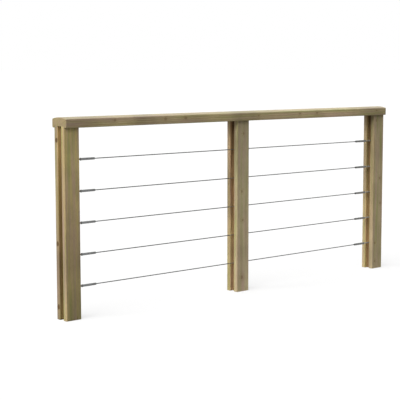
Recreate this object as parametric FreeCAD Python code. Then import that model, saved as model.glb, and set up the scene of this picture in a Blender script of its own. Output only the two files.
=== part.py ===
import FreeCAD, Part
import math
import os

# A deck railing section in pressure-treated pine with stainless steel wires.
# Three posts carry one top rail, which is crowned so that water runs off, and
# grooved underneath so that it sits over the posts' tops. Each post is laminated
# from three boards, and the middle one is narrower, so that a groove runs down
# both sides of the post.
# Every wire is screwed to the end posts with a terminal at each end, and passes
# through a hole in the middle post.
#
# X runs along the rail, Z is up, and -Y is the front. The origin is the middle
# of the middle post's foot. All sizes are in millimetres.

# Top rail, its height measured at the crest
rail_length = 2400.0
rail_height = 52.0
rail_depth = 120.0
rail_crown = 8.0
rail_top_arris_radius = 6.0
rail_groove_depth = 8.0
rail_groove_clearance = 0.5

# Posts, the end ones flush with the rail's ends
post_height = 968.0
board_width = 90.0
board_thickness = 28.0
core_width = 50.0
core_thickness = 28.0
arris_radius = 4.0
core_arris_chamfer = 1.0

# Wires, counted from the lowest
wire_diameter = 5.0
lowest_wire_height = 160.0
wire_pitch = 160.0
least_gap_under_rail = 100.0
wire_hole_clearance = 1.0

# Stud, one end screwed into the post's core and the other into the sleeve
stud_diameter = 8.0
stud_depth_in_core = 35.0
stud_depth_in_sleeve = 28.0
stud_clearance = 0.05

# Tubular sleeve that the wire is pressed into
sleeve_diameter = 12.5
sleeve_length = 82.0
sleeve_standoff = 60.0
sleeve_bore_depth = 38.0
wire_depth_in_sleeve = 36.0
wire_seat_clearance = 0.05

# Nut that locks the sleeve on the stud
nut_across_flats = 13.0
nut_thickness = 6.5
nut_chamfer = 0.8

# How far a drill runs on past a face
drill_overrun = 1.0

# Places that follow from the sizes above
end_post_x = (rail_length - board_width) / 2
core_face_x = end_post_x - core_width / 2
post_places = {"left": -end_post_x, "middle": 0.0, "right": end_post_x}
end_sides = {"left": -1, "right": 1}
post_depth = core_thickness + 2 * board_thickness
rail_underside_z = post_height - rail_groove_depth
wire_count = 1 + int((rail_underside_z - least_gap_under_rail - lowest_wire_height) // wire_pitch)
wire_heights = [lowest_wire_height + i * wire_pitch for i in range(wire_count)]
nut_back_x = sleeve_standoff - nut_thickness
sleeve_nose_x = sleeve_standoff + sleeve_length
wire_seat_x = sleeve_nose_x - wire_depth_in_sleeve
board_middle_y = (core_thickness + board_thickness) / 2
along_x = FreeCAD.Vector(1, 0, 0)
along_z = FreeCAD.Vector(0, 0, 1)
origin = FreeCAD.Vector(0, 0, 0)


def timber(size_x, size_y, size_z):
    """A square-edged timber centred on X and Y, standing on z = 0."""
    return Part.makeBox(size_x, size_y, size_z, FreeCAD.Vector(-size_x / 2, -size_y / 2, 0))


def edges_along(shape, direction):
    """The straight edges of a shape that run in one direction."""
    return [e for e in shape.Edges if abs(e.tangentAt(e.FirstParameter).dot(direction)) > 0.99]


def edges_at(shape, x):
    """The edges of a shape that lie in the plane at x."""
    return [e for e in shape.Edges if abs(e.CenterOfMass.x - x) < 0.001]


def rod(diameter, x_from, x_to):
    """A round bar, or the drill for a hole, on the X axis."""
    return Part.makeCylinder(diameter / 2, x_to - x_from, FreeCAD.Vector(x_from, 0, 0), along_x)


def raised(piece, height):
    """A copy of a piece, moved up."""
    return piece.translated(along_z * height)


def at_post(piece, end, height):
    """Puts a piece at an end post; it is made with the core's face at x = 0 and the wire along +X."""
    placed = raised(piece, height)
    if end == "right":
        placed.rotate(origin, along_z, 180)
    placed.translate(along_x * end_sides[end] * core_face_x)
    return placed


def rail_profile():
    """The rail's outline, square to its length at the left end, with the crest on an edge of its own."""
    half, side_height = rail_depth / 2, rail_height - rail_crown
    crown_radius = (half**2 + rail_crown**2) / (2 * rail_crown)
    quarter_turn = math.asin(half / crown_radius) / 2
    quarter_y = crown_radius * math.sin(quarter_turn)
    quarter_z = rail_height - crown_radius * (1 - math.cos(quarter_turn))
    groove_half = post_depth / 2 + rail_groove_clearance

    def point(y, z):
        return FreeCAD.Vector(-rail_length / 2, y, z)

    crest = point(0, rail_height)
    front_crown = Part.Arc(point(-half, side_height), point(-quarter_y, quarter_z), crest)
    back_crown = Part.Arc(crest, point(quarter_y, quarter_z), point(half, side_height))
    below = Part.makePolygon([
        point(half, side_height),
        point(half, 0),
        point(groove_half, 0),
        point(groove_half, rail_groove_depth),
        point(-groove_half, rail_groove_depth),
        point(-groove_half, 0),
        point(-half, 0),
        point(-half, side_height),
    ])
    return Part.Wire([front_crown.toShape(), back_crown.toShape()] + below.Edges)


def outer_arrises(rail, height):
    """The rail's two long outer edges at one height."""
    edges = edges_along(rail, along_x)
    outer = [e for e in edges if abs(abs(e.CenterOfMass.y) - rail_depth / 2) < 0.001]
    return [e for e in outer if abs(e.CenterOfMass.z - height) < 0.001]


def top_rail():
    """The handrail, seated over the posts' tops and proud of them at the front and the back."""
    rail = Part.Face(rail_profile()).extrude(along_x * rail_length)
    rail = rail.makeFillet(rail_top_arris_radius, outer_arrises(rail, rail_height - rail_crown))
    rail = rail.makeFillet(arris_radius, outer_arrises(rail, 0))
    return raised(rail, rail_underside_z)


def face_board(post_x, side):
    """An outer board of a post: side is -1 at the front and 1 at the back."""
    board = timber(board_width, board_thickness, post_height)
    board = board.makeFillet(arris_radius, edges_along(board, along_z))
    return board.translated(FreeCAD.Vector(post_x, side * board_middle_y, 0))


def core_board(post):
    """The narrow board between the outer ones, drilled at the height of each wire."""
    core = timber(core_width, core_thickness, post_height)
    core = core.makeChamfer(core_arris_chamfer, edges_along(core, along_z))
    core.translate(along_x * post_places[post])
    hole = wire_passage() if post == "middle" else stud_hole(post)
    return core.cut([raised(hole, height) for height in wire_heights])


def stud_hole(end):
    """The blind hole in an end post's core, as deep as the stud goes in."""
    drill = rod(stud_diameter + 2 * stud_clearance, -stud_depth_in_core, drill_overrun)
    return at_post(drill, end, 0.0)


def wire_passage():
    """The clear hole right through the middle post's core."""
    reach = core_width / 2 + drill_overrun
    return rod(wire_diameter + 2 * wire_hole_clearance, -reach, reach)


def stud():
    """The steel stud, from the bottom of its hole in the core to its end inside the sleeve."""
    return rod(stud_diameter, -stud_depth_in_core, sleeve_standoff + stud_depth_in_sleeve)


def lock_nut():
    """A hexagon nut, chamfered towards the post and tight against the end of the sleeve."""
    corner_radius = nut_across_flats / math.sqrt(3)
    corners = []
    for i in range(7):
        turn = math.radians(30 + 60 * i)
        y, z = corner_radius * math.cos(turn), corner_radius * math.sin(turn)
        corners.append(FreeCAD.Vector(nut_back_x, y, z))
    nut = Part.Face(Part.makePolygon(corners)).extrude(along_x * nut_thickness)
    nut = nut.makeChamfer(nut_chamfer, edges_at(nut, nut_back_x))
    hole_diameter = stud_diameter + 2 * stud_clearance
    return nut.cut(rod(hole_diameter, nut_back_x - drill_overrun, sleeve_standoff + drill_overrun))


def sleeve():
    """The tubular sleeve, bored for the stud at one end and for the wire at its nose."""
    body = rod(sleeve_diameter, sleeve_standoff, sleeve_nose_x)
    bore_end_x = sleeve_standoff + sleeve_bore_depth
    stud_bore = rod(stud_diameter + 2 * stud_clearance, sleeve_standoff - drill_overrun, bore_end_x)
    wire_seat = rod(wire_diameter + 2 * wire_seat_clearance, wire_seat_x, sleeve_nose_x + drill_overrun)
    return body.cut([stud_bore, wire_seat])


def wire():
    """A taut wire, from the bottom of its seat in one sleeve to that in the other."""
    wire_end_x = core_face_x - wire_seat_x
    return rod(wire_diameter, -wire_end_x, wire_end_x)


def all_pieces():
    """Every piece of the railing, by name."""
    pieces = {"top_rail": top_rail()}
    for post, post_x in post_places.items():
        pieces[f"post_{post}_front_board"] = face_board(post_x, -1)
        pieces[f"post_{post}_core_board"] = core_board(post)
        pieces[f"post_{post}_back_board"] = face_board(post_x, 1)
    terminal = {"stud": stud(), "lock_nut": lock_nut(), "sleeve": sleeve()}
    for number, height in enumerate(wire_heights, start=1):
        pieces[f"wire_{number}"] = raised(wire(), height)
        for end in end_sides:
            for part_name, piece in terminal.items():
                pieces[f"{end}_{part_name}_{number}"] = at_post(piece, end, height)
    return pieces


def main():
    os.makedirs("parts", exist_ok=True)
    for name, piece in all_pieces().items():
        piece.exportStep(f"parts/{name}.step")
        print(f"{name}: {len(piece.Solids)} solid, {piece.Volume / 1000:.1f} cm3, valid {piece.isValid()}")


main()
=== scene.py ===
import math
import bmesh
import bpy
from mathutils import Matrix, Vector


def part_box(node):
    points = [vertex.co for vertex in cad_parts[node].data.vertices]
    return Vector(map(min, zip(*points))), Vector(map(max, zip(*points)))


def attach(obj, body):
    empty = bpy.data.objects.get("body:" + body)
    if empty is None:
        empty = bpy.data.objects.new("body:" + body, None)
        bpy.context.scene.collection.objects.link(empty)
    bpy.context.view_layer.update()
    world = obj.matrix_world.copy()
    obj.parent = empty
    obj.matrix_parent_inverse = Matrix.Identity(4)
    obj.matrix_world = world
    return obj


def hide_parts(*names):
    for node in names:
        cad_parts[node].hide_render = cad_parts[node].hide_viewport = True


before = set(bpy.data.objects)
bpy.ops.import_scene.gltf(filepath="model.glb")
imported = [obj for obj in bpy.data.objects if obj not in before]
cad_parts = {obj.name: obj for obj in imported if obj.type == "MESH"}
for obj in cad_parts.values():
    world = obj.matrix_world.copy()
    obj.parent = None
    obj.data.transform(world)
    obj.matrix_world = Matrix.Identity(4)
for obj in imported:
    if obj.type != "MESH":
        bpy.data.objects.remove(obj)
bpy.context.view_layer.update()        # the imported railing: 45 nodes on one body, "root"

# Everything is in metres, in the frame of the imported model: X runs along the
# rail, Z is up, -Y is the front, and the origin is the middle post's foot.
mm = 0.001
samePlace = 0.01 * mm    # points closer than this are one
wireNumbers = (1, 2, 3, 4, 5)
lyingAlongX = (math.radians(90), 0, math.radians(90))   # lays an upright primitive along X


# Camera, light and floor

cameraLook = {
    "place": (-4.4201, -4.7263, 1.2483),   # fitted to the photo's edges
    "heading": -41.194,    # degrees, and so are the next two
    "tilt": 83.523,
    "roll": -0.091,
    "lens": 104.317,       # mm, on a 36 mm sensor
    "farthest": 1000,      # m that it sees
}

# Level is what a white surface square to the lamp shows. In degrees, height is
# over the floor, side is round from +X, and spread is across the lamp.
lightLook = {
    "key": {"level": 1.25, "height": 42, "side": 189, "spread": 60},     # soft, from the rail's left end
    "fill": {"level": 0.1, "height": 14, "side": 262, "spread": 80},     # low, from the front
    "rear": {"level": 0.22, "height": 20, "side": 100, "spread": 60},    # so that the back shows too
    "right": {"level": 0.2, "height": 12, "side": 12, "spread": 50},     # and the right-hand end
    "sky": 0.23,
}

floorLook = {
    "size": 900,           # m
    "seen": 0.95,          # as bright as the sky where it is lit, so only the soft shadow shows
    "glow": 0.72,          # share of plain white in what is seen, which keeps the shadow faint
    "bounced": 0.2,        # what it throws back on the object
}


def setCamera():
    data = bpy.data.cameras.new("camera")
    data.lens = cameraLook["lens"]
    data.clip_end = cameraLook["farthest"]
    camera = bpy.data.objects.new("camera", data)
    bpy.context.scene.collection.objects.link(camera)
    heading = Matrix.Rotation(math.radians(cameraLook["heading"]), 4, "Z")
    tilt = Matrix.Rotation(math.radians(cameraLook["tilt"]), 4, "X")
    roll = Matrix.Rotation(math.radians(cameraLook["roll"]), 4, "Z")
    camera.matrix_world = Matrix.Translation(cameraLook["place"]) @ heading @ tilt @ roll
    bpy.context.scene.camera = camera


def setLamp(name):
    look = lightLook[name]
    data = bpy.data.lights.new(name, "SUN")
    data.energy = look["level"] * math.pi
    data.angle = math.radians(look["spread"])
    lamp = bpy.data.objects.new(name, data)
    bpy.context.scene.collection.objects.link(lamp)
    height = math.radians(look["height"])
    side = math.radians(look["side"])
    flat = math.cos(height)
    towards = Vector((flat * math.cos(side), flat * math.sin(side), math.sin(height)))
    lamp.rotation_euler = towards.to_track_quat("Z", "Y").to_euler()
    lamp.location = towards * 5     # a sun shines the same from anywhere, so this is only to see it


def addNode(tree, kind, inputs={}, **settings):
    # adds one node: settings are its own options, inputs are values or other nodes' sockets
    node = tree.nodes.new(kind)
    for name, value in settings.items():
        setattr(node, name, value)
    for socket, value in inputs.items():
        if isinstance(value, bpy.types.NodeSocket):
            tree.links.new(value, node.inputs[socket])
        else:
            node.inputs[socket].default_value = value
    return node


def hexToLinear(text):
    # an sRGB colour such as "#b99f73" as linear red, green and blue, and alpha
    shares = [int(text[i:i + 2], 16) / 255 for i in (1, 3, 5)]
    return [s / 12.92 if s <= 0.04045 else ((s + 0.055) / 1.055) ** 2.4 for s in shares] + [1]


def clearTree(owner):
    owner.use_nodes = True
    owner.node_tree.nodes.clear()
    return owner.node_tree


def seenShare(tree):
    # 1 for what the camera sees, straight or in metal, and 0 for what lights the object
    path = addNode(tree, "ShaderNodeLightPath").outputs
    seen = addNode(tree, "ShaderNodeMath", {0: path["Is Camera Ray"], 1: path["Is Glossy Ray"]},
                   operation="MAXIMUM").outputs[0]
    return addNode(tree, "ShaderNodeMath", {0: seen, 1: path["Is Transmission Ray"]},
                   operation="MAXIMUM").outputs[0]


def setSky():
    world = bpy.data.worlds.new("studio")
    tree = clearTree(world)
    grey = [lightLook["sky"]] * 3 + [1]
    colour = addNode(tree, "ShaderNodeMix", {0: seenShare(tree), 6: grey, 7: (1, 1, 1, 1)},
                     data_type="RGBA").outputs[2]
    glow = addNode(tree, "ShaderNodeBackground", {"Color": colour, "Strength": 1}).outputs[0]
    addNode(tree, "ShaderNodeOutputWorld", {"Surface": glow})
    bpy.context.scene.world = world


def setFloor():
    bpy.ops.object.select_all(action="DESELECT")
    bpy.ops.mesh.primitive_plane_add(size=floorLook["size"], location=(0, 0, 0))
    floor = bpy.context.object
    floor.name = "studioFloor"
    material = bpy.data.materials.new("floorPaint")
    tree = clearTree(material)
    bounced = [floorLook["bounced"]] * 3 + [1]
    seen = [floorLook["seen"]] * 3 + [1]
    share = seenShare(tree)
    colour = addNode(tree, "ShaderNodeMix", {0: share, 6: bounced, 7: seen}, data_type="RGBA").outputs[2]
    paint = addNode(tree, "ShaderNodeBsdfDiffuse", {"Color": colour}).outputs[0]
    white = addNode(tree, "ShaderNodeEmission", {"Color": (1, 1, 1, 1), "Strength": 1}).outputs[0]
    glow = addNode(tree, "ShaderNodeMath", {0: share, 1: floorLook["glow"]},
                   operation="MULTIPLY").outputs[0]
    both = addNode(tree, "ShaderNodeMixShader", {0: glow, 1: paint, 2: white}).outputs[0]
    addNode(tree, "ShaderNodeOutputMaterial", {"Surface": both})
    floor.data.materials.append(material)


bpy.context.scene.view_settings.view_transform = "Standard"
setCamera()
setLamp("key")
setLamp("fill")
setLamp("rear")
setLamp("right")
setSky()
setFloor()
print("camera, light and floor are set")


# Timber materials

# Pressure-treated pine, planed. The green salts in pale sapwood make it olive
# brown; late wood draws a darker line in every growth ring, and knots are brown.
pine = {
    "early": "#bfac83",
    "late": "#99825a",
    "olive": "#8b8b52",
    "rose": "#a78b7c",
    "knot": "#66502f",
    "paintedTopLight": "#d6d2bc",
    "oliveShare": 0.8,     # how strongly each of these shows
    "roseShare": 0.65,
    "knotShare": 0.5,
    "paintedTopLightShare": 0.26, # painted light: what faces up is paled, as light from above falls on it
    "tonesAndPaintedShade": (1, 1),       # at the timber's low and high end: tone that changes along the timber, and on the middle and right posts painted shade under the rail, darker towards the top
    "tonePatchesAndPaintedLight": [],         # darker, paler or redder wood, or on the posts painted shade and painted light under the rail: its middle and its reach in mm, and the tone
    "lean": 14,            # degrees between squeezed log and timber: the rings run out in long arches
    "grainSqueeze": 0.045, # lengths along the grain are squeezed by this, so patterns run on
    "ringWidth": 3.4,      # mm
    "ringWobble": 4.5,
    "ringBend": 16,        # how far the rings are pushed aside by a knot
    "knotRings": 3.5,      # a knot's own rings
    "knotWander": 5,       # mm that a knot's outline wanders
    "fibreWidth": 0.8,     # mm, many times a real fibre's, so that it shows
    "streakWidth": 17,     # mm
    "cloudWidth": 160,     # mm
    "roughness": 0.7,
    "ringRelief": 0.2,     # mm that late wood stands over early wood
    "fibreRelief": 0.08,   # mm
    "markPitch": 2.2,      # mm between the cutter's marks
    "markDepth": 0.01,     # mm
    "checkReach": 24,      # mm that drying cracks run in from a sawn end
    "checkDepth": 0.6,     # mm
    "checkShare": 1,       # how strongly they show
}


def pineMaterial(name, node, look):
    # look holds what differs from pine, and "pith", the log's middle across the grain in mm from the
    # timber's own, and "knots", each with its place and radius in mm and the axis that it runs along
    values = {**pine, **look}
    low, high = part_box(node)
    size, middle = high - low, (low + high) / 2
    grain = "X" if size.x > size.z else "Z"
    material = bpy.data.materials.new(name)
    tree = clearTree(material)
    place = addNode(tree, "ShaderNodeTexCoord").outputs["Object"]

    # the log's own space, with the pith as its Z axis and lengths squeezed
    a, b = values["pith"]
    pith = middle + Vector((0, a, b) if grain == "X" else (a, b, 0)) * mm
    lean = math.radians(values["lean"])
    squeeze = values["grainSqueeze"]
    centred = addNode(tree, "ShaderNodeMapping", {"Vector": place, "Location": -pith}).outputs[0]
    log = addNode(tree, "ShaderNodeMapping", {
        "Vector": centred,
        "Rotation": (lean, lean / 3 - math.radians(90), 0) if grain == "X" else (lean, lean / 3, 0),
        "Scale": (squeeze, 1, 1) if grain == "X" else (1, 1, squeeze),
    }).outputs[0]

    # how many radii away the nearest knot is, by an uneven outline
    wander = values["knotWander"]
    stir = addNode(tree, "ShaderNodeTexNoise", {"Vector": place, "Scale": 1 / (10 * mm), "Detail": 2})
    stirred = addNode(tree, "ShaderNodeVectorMath", {
        0: stir.outputs["Color"], 1: [wander * mm] * 3, 2: place,
    }, operation="MULTIPLY_ADD").outputs[0]
    nearest = 9.0
    for x, y, z, radius, through in values["knots"]:
        # it runs on through the timber, and is a little longer along the grain
        squash = [0.02 if axis == through else 0.8 if axis == grain else 1 for axis in "XYZ"]
        shape = Vector(squash) / (radius * mm)
        spot = shape * (Vector((x, y, z)) + Vector([wander / 2] * 3)) * mm
        scaled = addNode(tree, "ShaderNodeVectorMath", {0: stirred, 1: shape},
                         operation="MULTIPLY").outputs[0]
        away = addNode(tree, "ShaderNodeVectorMath", {0: scaled, 1: spot},
                       operation="DISTANCE").outputs["Value"]
        nearest = addNode(tree, "ShaderNodeMath", {0: nearest, 1: away}, operation="MINIMUM").outputs[0]
    inKnot = addNode(tree, "ShaderNodeMapRange", {0: nearest, 1: 0.75, 2: 1.15, 3: 1, 4: 0},
                     interpolation_type="SMOOTHSTEP").outputs[0]
    nearKnot = addNode(tree, "ShaderNodeMapRange", {0: nearest, 1: 0.9, 2: 4, 3: 1, 4: 0},
                       interpolation_type="SMOOTHERSTEP").outputs[0]

    # growth rings, which bend round the knots
    bend = addNode(tree, "ShaderNodeMath", {0: nearKnot, 1: values["ringBend"]},
                   operation="MULTIPLY").outputs[0]
    rings = addNode(tree, "ShaderNodeTexWave", {
        "Vector": log, "Phase Offset": bend, "Scale": math.pi / (10 * values["ringWidth"] * mm),
        "Distortion": values["ringWobble"], "Detail": 3, "Detail Scale": 0.16,
    }, wave_type="RINGS", rings_direction="Z", wave_profile="SAW").outputs["Fac"]
    lateShare = addNode(tree, "ShaderNodeMapRange", {0: rings, 1: 0.3, 2: 1, 3: 0, 4: 1}).outputs[0]
    early, late = hexToLinear(values["early"]), hexToLinear(values["late"])
    colour = addNode(tree, "ShaderNodeMix", {0: lateShare, 6: early, 7: late}, data_type="RGBA").outputs[2]

    # long soft streaks, olive where the wood took up more salt and rosy where there is resin
    for tint, share, seed in (("olive", "oliveShare", 1.3), ("rose", "roseShare", 7.9)):
        streaks = addNode(tree, "ShaderNodeTexNoise", {
            "Vector": log, "W": seed + middle.x * 9, "Scale": 1 / (values["streakWidth"] * mm), "Detail": 3,
        }, noise_dimensions="4D").outputs[0]
        amount = addNode(tree, "ShaderNodeMapRange", {
            0: streaks, 1: 0.44, 2: 0.66, 3: 0, 4: values[share],
        }).outputs[0]
        colour = addNode(tree, "ShaderNodeMix", {0: amount, 6: colour, 7: hexToLinear(values[tint])},
                         data_type="RGBA").outputs[2]

    # fibres, slow changes of tone, and a change of tone along the timber that on the middle and right posts
    # is painted shade under the rail
    fibres = addNode(tree, "ShaderNodeTexNoise", {
        "Vector": log, "Scale": 1 / (values["fibreWidth"] * mm), "Detail": 3,
    }).outputs[0]
    clouds = addNode(tree, "ShaderNodeTexNoise", {
        "Vector": place, "Scale": 1 / (values["cloudWidth"] * mm), "Detail": 2,
    }).outputs[0]
    along = addNode(tree, "ShaderNodeSeparateXYZ", {0: place}).outputs[grain]
    axis = "XYZ".index(grain)
    tonesAndPaintedShade = [
        (fibres, 0.3, 0.7, 0.84, 1.14),
        (clouds, 0.3, 0.7, 0.88, 1.12),
        (along, low[axis], high[axis], *values["tonesAndPaintedShade"]),
    ]
    for pattern, first, last, least, most in tonesAndPaintedShade:
        tone = addNode(tree, "ShaderNodeMapRange", {
            0: pattern, 1: first, 2: last, 3: least, 4: most,
        }).outputs[0]
        colour = addNode(tree, "ShaderNodeMix", {0: 1, 6: colour, 7: tone}, data_type="RGBA",
                         blend_type="MULTIPLY").outputs[2]

    # patches of real tone, or of painted shade and painted light, full within half their reach; a tone is
    # one number, or three for red, green and blue
    for spot, reach, tone in values["tonePatchesAndPaintedLight"]:
        tint = tone if isinstance(tone, tuple) else (tone, tone, tone)
        shape = Vector([1 / (r * mm) for r in reach])
        shift = [-s * part * mm for s, part in zip(shape, spot)]
        away = addNode(tree, "ShaderNodeVectorMath", {0: place, 1: shape, 2: shift},
                       operation="MULTIPLY_ADD").outputs[0]
        away = addNode(tree, "ShaderNodeVectorMath", {0: away}, operation="LENGTH").outputs["Value"]
        near = addNode(tree, "ShaderNodeMapRange", {0: away, 1: 0.5, 2: 1, 3: 1, 4: 0}).outputs[0]
        colour = addNode(tree, "ShaderNodeMix", {0: near, 6: colour, 7: (*tint, 1)}, data_type="RGBA",
                         blend_type="MULTIPLY").outputs[2]

    # painted light: the faces that look up are paled, as light from above falls on them
    facing = addNode(tree, "ShaderNodeNewGeometry").outputs["Normal"]
    facing = addNode(tree, "ShaderNodeSeparateXYZ", {0: facing}).outputs["Z"]
    pale = addNode(tree, "ShaderNodeMapRange", {
        0: facing, 1: 0.3, 2: 0.8, 3: 0, 4: values["paintedTopLightShare"],
    }).outputs[0]
    colour = addNode(tree, "ShaderNodeMix", {0: pale, 6: colour, 7: hexToLinear(values["paintedTopLight"])},
                     data_type="RGBA").outputs[2]

    # knots are small branches with rings of their own, darker towards the bark
    halo = addNode(tree, "ShaderNodeMath", {0: nearKnot, 1: 0.25}, operation="MULTIPLY").outputs[0]
    colour = addNode(tree, "ShaderNodeMix", {0: halo, 6: colour, 7: late}, data_type="RGBA").outputs[2]
    branchRings = addNode(tree, "ShaderNodeMath", {0: nearest, 1: math.tau * values["knotRings"]},
                          operation="MULTIPLY").outputs[0]
    branchRings = addNode(tree, "ShaderNodeMath", {0: branchRings}, operation="SINE").outputs[0]
    bark = addNode(tree, "ShaderNodeMapRange", {0: nearest, 1: 0.2, 2: 1.05, 3: 1.35, 4: 0.7}).outputs[0]
    tone = addNode(tree, "ShaderNodeMath", {0: branchRings, 1: 0.14, 2: bark},
                   operation="MULTIPLY_ADD").outputs[0]
    branch = addNode(tree, "ShaderNodeMix", {0: 1, 6: hexToLinear(values["knot"]), 7: tone},
                     data_type="RGBA", blend_type="MULTIPLY").outputs[2]
    amount = addNode(tree, "ShaderNodeMath", {0: inKnot, 1: values["knotShare"]},
                     operation="MULTIPLY").outputs[0]
    colour = addNode(tree, "ShaderNodeMix", {0: amount, 6: colour, 7: branch}, data_type="RGBA").outputs[2]

    # drying cracks run in from the sawn ends, along lines out of the pith
    parts = addNode(tree, "ShaderNodeSeparateXYZ", {0: centred}).outputs
    off = addNode(tree, "ShaderNodeMath", {0: along, 1: middle[axis]}, operation="SUBTRACT").outputs[0]
    off = addNode(tree, "ShaderNodeMath", {0: off}, operation="ABSOLUTE").outputs[0]
    fromEnd = addNode(tree, "ShaderNodeMath", {0: max(size) / 2, 1: off}, operation="SUBTRACT").outputs[0]
    sides = ("Y", "Z") if grain == "X" else ("X", "Y")
    angle = addNode(tree, "ShaderNodeMath", {0: parts[sides[0]], 1: parts[sides[1]]},
                    operation="ARCTAN2").outputs[0]
    spokes = addNode(tree, "ShaderNodeTexNoise", {"W": angle, "Scale": 11, "Detail": 2},
                     noise_dimensions="1D").outputs[0]
    spokes = addNode(tree, "ShaderNodeMapRange", {
        0: spokes, 1: 0.66, 2: 0.7, 3: 0, 4: values["checkShare"],
    }).outputs[0]
    reach = addNode(tree, "ShaderNodeMapRange", {
        0: fromEnd, 1: 0, 2: values["checkReach"] * mm, 3: 1, 4: 0,
    }).outputs[0]
    checks = addNode(tree, "ShaderNodeMath", {0: spokes, 1: reach}, operation="MULTIPLY").outputs[0]
    endGrain = addNode(tree, "ShaderNodeMapRange", {
        0: fromEnd, 1: 0.2 * mm, 2: 1.4 * mm, 3: 0.3, 4: 0,
    }).outputs[0]
    colour = addNode(tree, "ShaderNodeMix", {0: endGrain, 6: colour, 7: late}, data_type="RGBA").outputs[2]
    colour = addNode(tree, "ShaderNodeMix", {0: checks, 6: colour, 7: hexToLinear(values["knot"])},
                     data_type="RGBA").outputs[2]

    # relief, in mm: rings, fibres, the cutter's marks across the grain, and cracks
    marks = addNode(tree, "ShaderNodeTexWave", {
        "Vector": place, "Scale": math.pi / (10 * values["markPitch"] * mm),
        "Distortion": 1.5, "Detail Scale": 0.3,
    }, wave_type="BANDS", bands_direction=grain).outputs["Fac"]
    reliefs = [
        (lateShare, values["ringRelief"]),
        (fibres, values["fibreRelief"]),
        (marks, values["markDepth"]),
        (checks, -values["checkDepth"]),
    ]
    height = 0.0
    for pattern, amount in reliefs:
        height = addNode(tree, "ShaderNodeMath", {0: pattern, 1: amount, 2: height},
                         operation="MULTIPLY_ADD").outputs[0]
    relief = addNode(tree, "ShaderNodeBump", {"Height": height, "Strength": 1, "Distance": mm}).outputs[0]
    roughness = addNode(tree, "ShaderNodeMapRange", {
        0: lateShare, 1: 0, 2: 1, 3: values["roughness"] + 0.08, 4: values["roughness"] - 0.06,
    }).outputs[0]
    wood = addNode(tree, "ShaderNodeBsdfPrincipled", {
        "Base Color": colour, "Roughness": roughness, "Normal": relief,
        "IOR": 1.5, "Specular IOR Level": 0.35,
    }).outputs[0]
    addNode(tree, "ShaderNodeOutputMaterial", {"Surface": wood})
    return material


# Making and finishing pieces

def pick(kind, wanted):
    # selects the vertices or edges of the piece in edit mode that pass the test
    bpy.ops.mesh.select_mode(type=kind)
    bpy.ops.mesh.select_all(action="DESELECT")
    data = bpy.context.edit_object.data
    shape = bmesh.from_edit_mesh(data)
    for part in shape.verts if kind == "VERT" else shape.edges:
        if wanted(part):
            part.select_set(True)
    bmesh.update_edit_mesh(data)


def liesAt(edge, axis, level):
    # whether an edge lies in the plane that is square to the axis at that level
    return all(abs(v.co["XYZ".index(axis)] - level) < samePlace for v in edge.verts)


def mergeAndTurnOut():
    # joins the points of the piece in edit mode that are one, and turns its faces outwards
    bpy.ops.mesh.select_all(action="SELECT")
    bpy.ops.mesh.remove_doubles(threshold=samePlace)
    bpy.ops.mesh.normals_make_consistent(inside=False)


def finishPiece(piece, name, material, node):
    # smooths the roundings, keeps the flats flat, and puts the piece in the place of its node
    bpy.ops.object.select_all(action="DESELECT")
    piece.select_set(True)
    bpy.context.view_layer.objects.active = piece
    piece.name = piece.data.name = name
    bpy.ops.object.shade_smooth_by_angle(angle=math.radians(35), keep_sharp_edges=True)
    weigh = piece.modifiers.new("flatFaces", "WEIGHTED_NORMAL")
    weigh.keep_sharp = True
    bpy.ops.object.modifier_apply(modifier=weigh.name)
    piece.data.materials.clear()
    piece.data.materials.append(material)
    placePiece(piece, node)


def placePiece(piece, node):
    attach(piece, "root")
    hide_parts(node)


def copyPiece(piece, name, move, turned, node):
    # the right-hand end is the left-hand one turned half round
    twin = piece.copy()
    twin.data = piece.data.copy()
    twin.name = twin.data.name = name
    bpy.context.scene.collection.objects.link(twin)
    if turned:
        twin.data.transform(Matrix.Rotation(math.pi, 4, "Z"))
    twin.data.transform(Matrix.Translation(move))
    placePiece(twin, node)


def shapeWith(piece, cutter, operation):
    # cuts the piece with another, which is then thrown away, and merges the slivers that the cut leaves
    bpy.ops.object.select_all(action="DESELECT")
    bpy.context.view_layer.objects.active = piece
    cut = piece.modifiers.new("cut", "BOOLEAN")
    cut.operation = operation
    cut.object = cutter
    cut.solver = "EXACT"
    bpy.ops.object.modifier_apply(modifier=cut.name)
    bpy.data.objects.remove(cutter)
    bpy.ops.object.mode_set(mode="EDIT")
    bpy.ops.mesh.select_all(action="SELECT")
    bpy.ops.mesh.remove_doubles(threshold=2 * samePlace)
    bpy.ops.mesh.dissolve_degenerate(threshold=samePlace)
    bpy.ops.mesh.normals_make_consistent(inside=False)
    bpy.ops.object.mode_set(mode="OBJECT")


# Boards

boardShape = {
    "arris": 4,            # mm, rounding of the long edges, left by the planer's cutter
    "arrisSteps": 5,
    "end": 1.6,            # mm, sawn ends eased with sandpaper
    "endSteps": 3,
}


def addBlank(low, high):
    # a squared timber to be shaped, between two corners
    bpy.ops.object.select_all(action="DESELECT")
    bpy.ops.mesh.primitive_cube_add(size=1, location=(low + high) / 2, scale=high - low)
    bpy.ops.object.transform_apply(location=True, rotation=True, scale=True)
    return bpy.context.object


def planeBoard(name, node, material):
    # an upright board at the node's size, its long edges rounded and then its ends
    low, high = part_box(node)
    board = addBlank(low, high)
    bpy.ops.object.mode_set(mode="EDIT")
    pick("EDGE", lambda edge: not liesAt(edge, "Z", low.z) and not liesAt(edge, "Z", high.z))
    bpy.ops.mesh.bevel(offset=boardShape["arris"] * mm, segments=boardShape["arrisSteps"], affect="EDGES")
    for end in (low.z, high.z):
        pick("EDGE", lambda edge: liesAt(edge, "Z", end))
        bpy.ops.mesh.bevel(offset=boardShape["end"] * mm, segments=boardShape["endSteps"], affect="EDGES")
    mergeAndTurnOut()
    bpy.ops.object.mode_set(mode="OBJECT")
    finishPiece(board, name, material, node)


# Top rail

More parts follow.
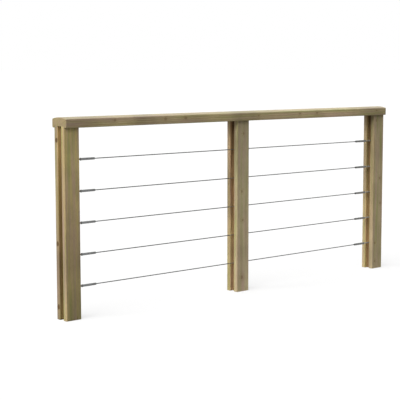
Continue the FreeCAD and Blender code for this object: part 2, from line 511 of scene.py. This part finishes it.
railShape = {
    "crown": 8,            # mm that the crest stands over the sides
    "crownSteps": 14,      # flats across the crown
    "topArris": 4.6,       # mm back from the edge, for a radius of 6 where the crown meets the side
    "lowArris": 4,
    "arrisSteps": 5,
    "grooveClearance": 0.5,
    "end": 3.6,            # mm, the ends are rounded nearly as the long edges
    "endSteps": 3,
}


def planeRail(name, node, material):
    # crowned on top, grooved underneath over the posts' tops, and rounded along its edges and ends
    low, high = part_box(node)
    side = high.z - railShape["crown"] * mm
    half = (high.y - low.y) / 2
    crownRadius = (half ** 2 + (railShape["crown"] * mm) ** 2) / (2 * railShape["crown"] * mm)
    rail = addBlank(low, Vector((high.x, high.y, side)))
    bpy.ops.object.mode_set(mode="EDIT")
    rows = [half * (2 * i / railShape["crownSteps"] - 1) for i in range(1, railShape["crownSteps"])]
    for across in rows:
        bpy.ops.mesh.select_all(action="SELECT")
        bpy.ops.mesh.bisect(plane_co=(0, across, 0), plane_no=(0, 1, 0))
    for across in rows:
        pick("VERT", lambda v: abs(v.co.y - across) < samePlace and v.co.z > side - samePlace)
        rise = math.sqrt(crownRadius ** 2 - across ** 2) - math.sqrt(crownRadius ** 2 - half ** 2)
        bpy.ops.transform.translate(value=(0, 0, rise))

    def isArris(edge, level):
        return liesAt(edge, "Z", level) and all(abs(abs(v.co.y) - half) < samePlace for v in edge.verts)

    def isRim(edge, end):
        # an edge between the end's face and the sides
        meetsSide = any(abs(face.normal.x) < 0.5 for face in edge.link_faces)
        return liesAt(edge, "X", end) and len(edge.link_faces) == 2 and meetsSide

    for level, arris in ((side, "topArris"), (low.z, "lowArris")):
        pick("EDGE", lambda edge: isArris(edge, level))
        bpy.ops.mesh.bevel(offset=railShape[arris] * mm, segments=railShape["arrisSteps"], affect="EDGES")
    for end in (low.x, high.x):
        pick("EDGE", lambda edge: isRim(edge, end))
        bpy.ops.mesh.bevel(offset=railShape["end"] * mm, segments=railShape["endSteps"], affect="EDGES")
    mergeAndTurnOut()
    bpy.ops.object.mode_set(mode="OBJECT")

    # the groove is as deep as the posts reach into it, and a little wider than they are deep
    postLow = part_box("post_left_front_board")[0]
    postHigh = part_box("post_left_back_board")[1]
    reach = Vector((10 * mm, railShape["grooveClearance"] * mm, 0))
    cutterLow = Vector((low.x, postLow.y, low.z - 5 * mm)) - reach
    cutterHigh = Vector((high.x, postHigh.y, postHigh.z)) + reach
    shapeWith(rail, addBlank(cutterLow, cutterHigh), "DIFFERENCE")
    finishPiece(rail, name, material, node)


railLook = {
    "early": "#b1a47a",
    "late": "#927c55",
    "pith": (46, -38),
    "lean": 12,
    "tonesAndPaintedShade": (0.95, 1.15),
    "tonePatchesAndPaintedLight": [
        ((-1155, 0, 985), (180, 300, 300), 0.85),
        ((-845, 0, 985), (80, 300, 300), 1.17),
        ((-690, 0, 985), (85, 300, 300), 0.85),
        ((-72, 0, 985), (65, 300, 300), 0.88),
        ((10, 0, 985), (120, 300, 300), 0.82),
        ((520, 0, 985), (190, 300, 300), 1.09),
        ((770, 0, 985), (140, 300, 300), 1.14),
        ((930, 0, 985), (85, 300, 300), 0.88),
        ((1155, 0, 985), (200, 300, 300), 0.76),
    ],
    "checkShare": 0.5,
    "knots": [
        (-903, -60, 989, 6, "Y"),
        (-573, -60, 988, 7.5, "Y"),
        (-435, -60, 988, 8, "Y"),
        (102, -60, 986, 5.5, "Y"),
        (433, -60, 989, 5.5, "Y"),
        (576, -60, 989, 6.5, "Y"),
        (1111, -60, 990, 6, "Y"),
        (-720, 22, 1005, 9, "Z"),
        (268, -18, 1005, 7, "Z"),
        (905, 35, 1005, 10, "Z"),
    ],
}
planeRail("planedTopRail", "top_rail", pineMaterial("planedPineRail", "top_rail", railLook))

# What sets each board apart: its place in the log, its tones, and its knots,
# which on the front boards are where the photo shows them
boardLooks = {
    "post_left_front_board": {
        "pith": (-64, 52),
        "early": "#bdac72",
        "late": "#998253",
        "tonesAndPaintedShade": (0.66, 1.22),
        "tonePatchesAndPaintedLight": [
            ((-1200, -28, 800), (12, 60, 420), 0.77),
            ((-1200, -28, 0), (12, 60, 180), 1.4),
            ((-1200, -28, 300), (12, 60, 900), (1.08, 1.05, 1.16)),
        ],
        "knots": [],
    },
    "post_left_back_board": {
        "pith": (30, -46),
        "knot": "#553e1e",
        "knotShare": 1,
        "tonesAndPaintedShade": (0.58, 0.94),
        "tonePatchesAndPaintedLight": [
            ((-1155, 14, 500), (300, 6, 1400), (1.12, 1.05, 0.74)),
            ((-1155, 14, 370), (300, 6, 420), (0.72, 0.7, 0.68)),
            # painted light: the top of the groove face is lightened against the shade under the rail
            ((-1155, 14, 940), (300, 6, 170), 1.3),
            ((-1200, 28, 268), (12, 60, 130), 0.83),
            # painted shadow of the rail on the top of the side
            ((-1200, 30, 960), (12, 30, 110), 0.74),
        ],
        "knots": [(-1200, 25, 899, 10, "X"), (-1200, 27, 383, 10, "X"), (-1200, 27, 65, 11, "X")],
    },
    "post_middle_front_board": {
        "pith": (58, 40),
        "early": "#bab18e",
        # painted shade under the rail: darker towards the top
        "tonesAndPaintedShade": (1.3, 0.88),
        "tonePatchesAndPaintedLight": [
            # painted light: the top of the side is lightened against the rail's shadow
            ((-45, -28, 960), (12, 60, 120), 1.4),
            ((-45, -28, 780), (12, 60, 170), 0.87),
            ((-45, -28, 400), (12, 60, 1300), (0.97, 1, 0.88)),
        ],
        "knots": [
            (2, -42, 889, 6, "Y"),
            (-9, -42, 566, 6.5, "Y"),
            (-2, -42, 404, 5.5, "Y"),
            (-9, -42, 81, 8.5, "Y"),
        ],
    },
    "post_middle_back_board": {
        "pith": (-36, -58),
        "early": "#c1ab7a",
        # painted shade under the rail: darker towards the top
        "tonesAndPaintedShade": (1.2, 1),
        "tonePatchesAndPaintedLight": [
            # painted light: the top of the side is lightened against the rail's shadow
            ((-45, 28, 930), (12, 60, 200), 1.5),
            ((-45, 28, 555), (12, 60, 170), 0.72),
            ((0, 14, 500), (300, 6, 1400), (0.97, 0.9, 0.93)),
            # painted shade under the rail on the groove face, darker towards the top
            ((0, 14, 760), (300, 6, 400), (0.78, 0.7, 0.7)),
        ],
        "knots": [(12, 42, 700, 8, "Y")],
    },
    "post_right_front_board": {
        "pith": (-48, 44),
        "early": "#baac89",
        # painted shade under the rail: darker towards the top
        "tonesAndPaintedShade": (1.12, 0.88),
        "tonePatchesAndPaintedLight": [
            ((1110, -28, 600), (12, 60, 500), (0.98, 0.95, 0.86)),
            ((1155, -42, 640), (90, 12, 260), 1.09),
        ],
        "knots": [
            (1132, -42, 926, 6, "Y"),
            (1170, -42, 567, 6.5, "Y"),
            (1178, -42, 409, 6, "Y"),
            (1131, -42, 162, 5.5, "Y"),
            (1136, -42, 46, 5.5, "Y"),
        ],
    },
    "post_right_back_board": {
        "pith": (40, -50),
        # painted shade under the rail: darker towards the top
        "tonesAndPaintedShade": (1.28, 0.95),
        "tonePatchesAndPaintedLight": [
            # painted light: the top of the side is lightened against the rail's shadow
            ((1110, 28, 920), (12, 60, 190), 1.3),
            ((1110, 28, 570), (12, 60, 170), 0.8),
            ((1155, 14, 500), (300, 6, 1400), (1.05, 0.97, 0.76)),
            # painted shade under the rail on the groove face, darker towards the top
            ((1155, 14, 750), (300, 6, 300), 0.8),
        ],
        "knots": [(1160, 42, 330, 7, "Y")],
    },
}
for node, look in boardLooks.items():
    post, side = node.split("_")[1:3]
    material = pineMaterial(f"planedPine{post.title()}{side.title()}Board", node, look)
    planeBoard(f"{post}{side.title()}Board", node, material)

# The cores keep their own solids, drilled for the wires. They are heartwood, so
# redder than the boards, and rougher, as the saw leaves them.
sawnLook = {
    "early": "#9b7f52",
    "late": "#775b37",
    "olive": "#7c6b42",
    "rose": "#8b6b52",
    "roughness": 0.8,
    "markPitch": 3.6,
    "markDepth": 0.12,
    "fibreRelief": 0.16,
    "knots": [],
}
coreLooks = {
    "left": {"pith": (6, 24), "early": "#9b7c48", "late": "#775a30", "tonesAndPaintedShade": (0.7, 1.15)},
    # on the middle and right cores the tones are painted shade under the rail: darker towards the top
    "middle": {"pith": (-9, 30), "early": "#9b784f", "tonesAndPaintedShade": (1.1, 0.8)},
    "right": {"pith": (4, -28), "early": "#9b7c46", "late": "#775b30", "tonesAndPaintedShade": (1.1, 0.8)},
}
for post, look in coreLooks.items():
    node = f"post_{post}_core_board"
    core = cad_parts[node]
    core.data.materials.clear()
    core.data.materials.append(pineMaterial(f"sawnPine{post.title()}Core", node, {**sawnLook, **look}))
print("timber is planed and placed")


# Steel materials

# Stainless steel, grade 316. Out of doors it dulls to a mid grey, and it is darker
# in the low places of a rope's lay and of a thread. The lines that drawing and
# turning leave are really far finer; they are this coarse so that they show.
steelLooks = {
    "drawnStainlessRope": {
        "steel": "#686969",
        "low": "#2b2a28",
        "paleNearMiddlePost": "#aaa69e",     # paler where it runs through the middle post and just outside it
        "paleNearMiddlePostReach": (50, 78), # mm from the post's middle that it stays so, and then fades out
        "roughness": 0.42,
        "smudge": 0.1,         # how far smudges change the roughness
        "crest": 2.5,          # mm from the wire's axis: it is darker from the root up to the crest
        "root": 2.15,
        "linePitch": 0.5,      # mm
        "lineDepth": 0.004,    # mm
    },
    "turnedStainlessSleeve": {
        "steel": "#868787",
        "low": "#484744",
        "roughness": 0.6,
        "smudge": 0.12,
        "crest": 6.1,
        "root": 5.5,
        "linePitch": 0.4,
        "lineDepth": 0.006,
    },
    "rolledStainlessThread": {
        "steel": "#a09d96",
        "low": "#6c665b",
        "roughness": 0.6,
        "smudge": 0.1,
        "crest": 3.95,
        "root": 3.4,
        "linePitch": 0.5,
        "lineDepth": 0.004,
    },
}
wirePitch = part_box("wire_2")[0].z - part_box("wire_1")[0].z


def steelMaterial(name, look):
    material = bpy.data.materials.new(name)
    tree = clearTree(material)
    place = addNode(tree, "ShaderNodeTexCoord").outputs["Object"]
    parts = addNode(tree, "ShaderNodeSeparateXYZ", {0: place}).outputs
    # the wires are evenly spaced up from the floor, so one formula gives the distance from the nearest axis
    height = addNode(tree, "ShaderNodeMath", {0: parts["Z"], 1: wirePitch / 2}, operation="ADD").outputs[0]
    height = addNode(tree, "ShaderNodeMath", {0: height, 1: wirePitch},
                     operation="FLOORED_MODULO").outputs[0]
    height = addNode(tree, "ShaderNodeMath", {0: height, 1: wirePitch / 2}, operation="SUBTRACT").outputs[0]
    ray = addNode(tree, "ShaderNodeCombineXYZ", {"Y": parts["Y"], "Z": height}).outputs[0]
    radius = addNode(tree, "ShaderNodeVectorMath", {0: ray}, operation="LENGTH").outputs["Value"]
    # darker from the root up to the crest
    lowPlaces = addNode(tree, "ShaderNodeMapRange", {
        0: radius, 1: look["root"] * mm, 2: look["crest"] * mm, 3: 0.9, 4: 0,
    }).outputs[0]

    smudges = addNode(tree, "ShaderNodeTexNoise", {
        "Vector": place, "Scale": 1 / (7 * mm), "Detail": 4,
    }).outputs[0]
    tone = addNode(tree, "ShaderNodeMapRange", {0: smudges, 1: 0.3, 2: 0.7, 3: 0.86, 4: 1.1}).outputs[0]
    clean, low = hexToLinear(look["steel"]), hexToLinear(look["low"])
    colour = addNode(tree, "ShaderNodeMix", {0: lowPlaces, 6: clean, 7: low}, data_type="RGBA").outputs[2]
    # paler through the middle post and near it, fading out further away
    if "paleNearMiddlePost" in look:
        inner, outer = look["paleNearMiddlePostReach"]
        across = addNode(tree, "ShaderNodeMath", {0: parts["X"]}, operation="ABSOLUTE").outputs[0]
        inPost = addNode(tree, "ShaderNodeMapRange", {
            0: across, 1: inner * mm, 2: outer * mm, 3: 1, 4: 0,
        }).outputs[0]
        colour = addNode(tree, "ShaderNodeMix", {0: inPost, 6: colour, 7: hexToLinear(look["paleNearMiddlePost"])},
                         data_type="RGBA").outputs[2]
    colour = addNode(tree, "ShaderNodeMix", {0: 1, 6: colour, 7: tone}, data_type="RGBA",
                     blend_type="MULTIPLY").outputs[2]
    roughness = addNode(tree, "ShaderNodeMapRange", {
        0: smudges, 1: 0.3, 2: 0.7,
        3: look["roughness"] - look["smudge"], 4: look["roughness"] + look["smudge"],
    }).outputs[0]
    lines = addNode(tree, "ShaderNodeTexWave", {
        "Vector": place, "Scale": math.pi / (10 * look["linePitch"] * mm),
        "Distortion": 2, "Detail Scale": 0.5,
    }, wave_type="BANDS", bands_direction="X").outputs["Fac"]
    relief = addNode(tree, "ShaderNodeBump", {
        "Height": lines, "Strength": 1, "Distance": look["lineDepth"] * mm,
    }).outputs[0]
    steel = addNode(tree, "ShaderNodeBsdfPrincipled", {
        "Base Color": colour, "Roughness": roughness, "Normal": relief, "Metallic": 1,
    }).outputs[0]
    addNode(tree, "ShaderNodeOutputMaterial", {"Surface": steel})
    return material


ropeSteel, sleeveSteel, threadSteel = [steelMaterial(name, look) for name, look in steelLooks.items()]


# Wire ropes

ropeShape = {
    "outerWires": 12,      # a strand of 19 wires shows twelve
    "layLength": 55,       # mm for one turn
    "stepLength": 2.5,     # mm
    "valley": 0.865,       # of the radius, between two wires
    "shoulder": 0.965,
}


def layRope(name, node, material):
    # a scalloped outline that turns as it runs along
    low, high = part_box(node)
    length, radius = high.x - low.x, (high.z - low.z) / 2
    points = 4 * ropeShape["outerWires"]
    bpy.ops.object.select_all(action="DESELECT")
    bpy.ops.mesh.primitive_circle_add(vertices=points, radius=radius, rotation=lyingAlongX)
    piece = bpy.context.object
    bpy.ops.object.transform_apply(location=True, rotation=True, scale=True)
    bpy.ops.object.mode_set(mode="EDIT")
    # of a wire's four points one is its top, two are its shoulders, and one it shares with the next wire
    for turns, share in (((0,), ropeShape["valley"]), ((1, 3), ropeShape["shoulder"])):
        pick("VERT", lambda v: round(math.atan2(v.co.z, v.co.y) / math.tau * points) % 4 in turns)
        bpy.ops.transform.resize(value=(1, share, share), center_override=(0, 0, 0))
    bpy.ops.object.mode_set(mode="OBJECT")
    lay = piece.modifiers.new("lay", "SCREW")
    lay.axis = "X"
    lay.angle = math.tau * length / (ropeShape["layLength"] * mm)
    lay.screw_offset = length
    lay.steps = lay.render_steps = round(length / (ropeShape["stepLength"] * mm))
    bpy.ops.object.modifier_apply(modifier=lay.name)
    bpy.ops.object.mode_set(mode="EDIT")
    for end in (0, length):
        pick("EDGE", lambda edge: edge.is_boundary and abs(edge.verts[0].co.x - end) < mm)
        bpy.ops.mesh.edge_face_add()
    bpy.ops.mesh.select_all(action="SELECT")
    bpy.ops.mesh.normals_make_consistent(inside=False)
    bpy.ops.transform.translate(value=(low.x, 0, (low.z + high.z) / 2))
    bpy.ops.object.mode_set(mode="OBJECT")
    finishPiece(piece, name, material, node)
    return piece


rope = layRope("wireRope1", "wire_1", ropeSteel)
for number in wireNumbers[1:]:
    rise = (0, 0, (number - 1) * wirePitch)
    copyPiece(rope, f"wireRope{number}", rise, False, f"wire_{number}")
print("wire ropes are laid")


# Terminals, made at the left-hand end of the lowest wire

wireHeight = sum(corner.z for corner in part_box("wire_1")) / 2
studLow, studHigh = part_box("left_stud_1")
nutLow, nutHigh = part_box("left_lock_nut_1")
sleeveLow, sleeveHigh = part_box("left_sleeve_1")
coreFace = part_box("post_left_core_board")[1].x
studDiameter = studHigh.z - studLow.z
sleeveDiameter = sleeveHigh.z - sleeveLow.z


def addBar(name, fromX, toX, diameter, sides):
    # a round bar, or one with few sides, on the lowest wire's axis; sizes in metres
    bpy.ops.object.select_all(action="DESELECT")
    bpy.ops.mesh.primitive_cylinder_add(vertices=sides, radius=diameter / 2, depth=toX - fromX,
                                        rotation=lyingAlongX, location=((fromX + toX) / 2, 0, wireHeight))
    piece = bpy.context.object
    piece.name = name
    bpy.ops.object.transform_apply(location=True, rotation=True, scale=True)
    return piece


def sliceAt(*places):
    # cuts a ring of edges through the piece in edit mode at each X
    for x in places:
        bpy.ops.mesh.select_all(action="SELECT")
        bpy.ops.mesh.bisect(plane_co=(x, 0, 0), plane_no=(1, 0, 0))


def narrowAt(x, share):
    # draws the ring at X in, or lets it out, about the wire's axis
    pick("VERT", lambda v: abs(v.co.x - x) < samePlace)
    bpy.ops.transform.resize(value=(1, share, share), center_override=(x, 0, wireHeight))


studShape = {
    "sides": 32,
    "plainLength": 10,     # mm out of the wood before the thread starts
    "pointLength": 10,
    "pointShare": 0.2,     # of the diameter
    "threadPitch": 1.25,
    "threadDepth": 0.68,
    "threadSteps": 24,     # round one turn
    "threadInSleeve": 2,
    "chamfer": 0.6,
}


def turnStud():
    # plain at the wood with a point inside it, threaded from the groove into the sleeve
    threadFrom = coreFace + studShape["plainLength"] * mm
    threadTo = sleeveLow.x + studShape["threadInSleeve"] * mm
    coreDiameter = studDiameter - 2 * studShape["threadDepth"] * mm
    shank = addBar("shank", studLow.x, threadFrom, studDiameter, studShape["sides"])
    bpy.ops.object.mode_set(mode="EDIT")
    sliceAt(studLow.x + studShape["pointLength"] * mm)
    narrowAt(studLow.x, studShape["pointShare"])
    pick("EDGE", lambda edge: liesAt(edge, "X", threadFrom))
    bpy.ops.mesh.bevel(offset=studShape["chamfer"] * mm, segments=2, affect="EDGES")
    bpy.ops.object.mode_set(mode="OBJECT")
    rod = addBar("rod", threadTo - mm, studHigh.x, coreDiameter, studShape["sides"])

    # one tooth of the thread, its middle points raised out of one edge of a plane, and then wound along
    pitch = studShape["threadPitch"] * mm
    bpy.ops.object.select_all(action="DESELECT")
    bpy.ops.mesh.primitive_plane_add(size=pitch, location=(pitch / 2, 0, coreDiameter / 2 - pitch / 2),
                                     rotation=(math.radians(90), 0, 0))
    thread = bpy.context.object
    bpy.ops.object.transform_apply(location=True, rotation=True, scale=True)
    bpy.ops.object.mode_set(mode="EDIT")
    pick("VERT", lambda v: v.co.z < coreDiameter / 2 - pitch / 2)
    bpy.ops.mesh.delete(type="VERT")
    bpy.ops.mesh.select_all(action="SELECT")
    bpy.ops.mesh.subdivide(number_cuts=3)
    pick("VERT", lambda v: abs(v.co.x - pitch / 2) < 0.3 * pitch)
    bpy.ops.transform.translate(value=(0, 0, studShape["threadDepth"] * mm))
    bpy.ops.object.mode_set(mode="OBJECT")
    wind = thread.modifiers.new("wind", "SCREW")
    wind.axis = "X"
    wind.screw_offset = pitch
    wind.iterations = round((threadTo - threadFrom) / pitch)
    wind.steps = wind.render_steps = studShape["threadSteps"]
    bpy.ops.object.modifier_apply(modifier=wind.name)
    bpy.ops.object.mode_set(mode="EDIT")
    bpy.ops.mesh.select_all(action="SELECT")
    bpy.ops.mesh.remove_doubles(threshold=samePlace)
    for inEnd in (True, False):
        pick("EDGE", lambda edge: edge.is_boundary and (edge.verts[0].co.x < 2 * pitch) == inEnd)
        bpy.ops.mesh.edge_face_add()
    bpy.ops.mesh.select_all(action="SELECT")
    bpy.ops.mesh.normals_make_consistent(inside=False)
    bpy.ops.transform.translate(value=(threadFrom - pitch, 0, wireHeight))
    bpy.ops.object.mode_set(mode="OBJECT")

    bpy.ops.object.select_all(action="DESELECT")
    for part in (shank, rod, thread):
        part.select_set(True)
    bpy.context.view_layer.objects.active = thread
    bpy.ops.object.join()
    finishPiece(thread, "leftStud1", threadSteel, "left_stud_1")
    return thread


nutShape = {
    "chamfer": 0.8,        # mm along the axis, to a circle just inside the flats
    "faceShare": 0.84,     # of the corners' radius
    "blankSides": 66,      # a number that leaves no slivers at the hexagon's corners
    "blankAllowance": 0.1,
    "holeSides": 32,
    "holeClearance": 0.15,
}


def makeNut():
    # a hexagon bar, turned at both faces and drilled
    corners = nutHigh.z - nutLow.z
    turned = corners + nutShape["blankAllowance"] * mm
    nut = addBar("nut", nutLow.x, nutHigh.x, corners, 6)
    blank = addBar("blank", nutLow.x, nutHigh.x, turned, nutShape["blankSides"])
    bpy.ops.object.mode_set(mode="EDIT")
    sliceAt(nutLow.x + nutShape["chamfer"] * mm, nutHigh.x - nutShape["chamfer"] * mm)
    narrowAt(nutLow.x, nutShape["faceShare"])
    narrowAt(nutHigh.x, nutShape["faceShare"])
    bpy.ops.object.mode_set(mode="OBJECT")
    shapeWith(nut, blank, "INTERSECT")
    hole = studDiameter + nutShape["holeClearance"] * mm
    drill = addBar("drill", nutLow.x - mm, nutHigh.x + mm, hole, nutShape["holeSides"])
    shapeWith(nut, drill, "DIFFERENCE")
    finishPiece(nut, "leftNut1", sleeveSteel, "left_lock_nut_1")
    return nut


sleeveShape = {
    "sides": 48,
    "rim": 0.5,            # mm, rounding of both rims
    "swageLength": 36,     # mm at the nose, rolled down on the wire
    "swageShare": 0.95,    # of the diameter
    "swageStep": 0.8,      # mm that the drop to it takes
    "rollMarks": 5,
    "markWidth": 1.8,
    "markShare": 0.975,    # of the swage's own diameter
    "noseLength": 4,
    "noseShare": 0.8,
    "boreDepth": 38,
    "boreClearance": 0.1,
    "mouthDepth": 3,
    "mouthWidth": 5.7,
    "holeSides": 32,
    "pinHole": 3.5,        # mm, for the pin that tightens it
    "pinHoleSides": 24,
    "pinHolePlace": 32,    # mm from the nut
}


def turnSleeve():
    # a tube, rolled down on the wire for its last third, with a hole across for the tightening pin
    start, nose = sleeveLow.x, sleeveHigh.x
    swage = nose - sleeveShape["swageLength"] * mm
    dropped = swage + sleeveShape["swageStep"] * mm
    taper = nose - sleeveShape["noseLength"] * mm
    sleeve = addBar("sleeve", start, nose, sleeveDiameter, sleeveShape["sides"])
    bpy.ops.object.mode_set(mode="EDIT")
    sliceAt(swage, dropped, taper)
    narrowAt(dropped, sleeveShape["swageShare"])
    narrowAt(taper, sleeveShape["swageShare"])
    narrowAt(nose, sleeveShape["noseShare"])
    gap = (taper - swage) / (sleeveShape["rollMarks"] + 1)
    half = sleeveShape["markWidth"] * mm / 2
    for i in range(sleeveShape["rollMarks"]):
        mark = swage + gap * (i + 1)
        sliceAt(mark - half, mark, mark + half)
        narrowAt(mark, sleeveShape["markShare"])
    for end in (start, nose):
        pick("EDGE", lambda edge: liesAt(edge, "X", end))
        bpy.ops.mesh.bevel(offset=sleeveShape["rim"] * mm, segments=2, affect="EDGES")
    bpy.ops.object.mode_set(mode="OBJECT")
    mouthFrom = nose - sleeveShape["mouthDepth"] * mm
    mouth = addBar("mouth", mouthFrom, nose + mm, sleeveShape["mouthWidth"] * mm, sleeveShape["holeSides"])
    shapeWith(sleeve, mouth, "DIFFERENCE")
    boreTo = start + sleeveShape["boreDepth"] * mm
    boreDiameter = studDiameter + sleeveShape["boreClearance"] * mm
    bore = addBar("bore", start - mm, boreTo, boreDiameter, sleeveShape["holeSides"])
    shapeWith(sleeve, bore, "DIFFERENCE")
    bpy.ops.object.select_all(action="DESELECT")
    pinX = start + sleeveShape["pinHolePlace"] * mm
    bpy.ops.mesh.primitive_cylinder_add(vertices=sleeveShape["pinHoleSides"],
                                        radius=sleeveShape["pinHole"] * mm / 2, depth=2 * sleeveDiameter,
                                        rotation=(math.radians(90), 0, 0), location=(pinX, 0, wireHeight))
    shapeWith(sleeve, bpy.context.object, "DIFFERENCE")
    finishPiece(sleeve, "leftSleeve1", sleeveSteel, "left_sleeve_1")
    return sleeve


terminalParts = (
    ("Stud", "stud", turnStud()),
    ("Nut", "lock_nut", makeNut()),
    ("Sleeve", "sleeve", turnSleeve()),
)
for part, node, made in terminalParts:
    for number in wireNumbers:
        rise = (0, 0, (number - 1) * wirePitch)
        for end in ("left", "right"):
            if (end, number) != ("left", 1):
                copyPiece(made, f"{end}{part}{number}", rise, end == "right",
                          f"{end}_{node}_{number}")
print("terminals are turned")
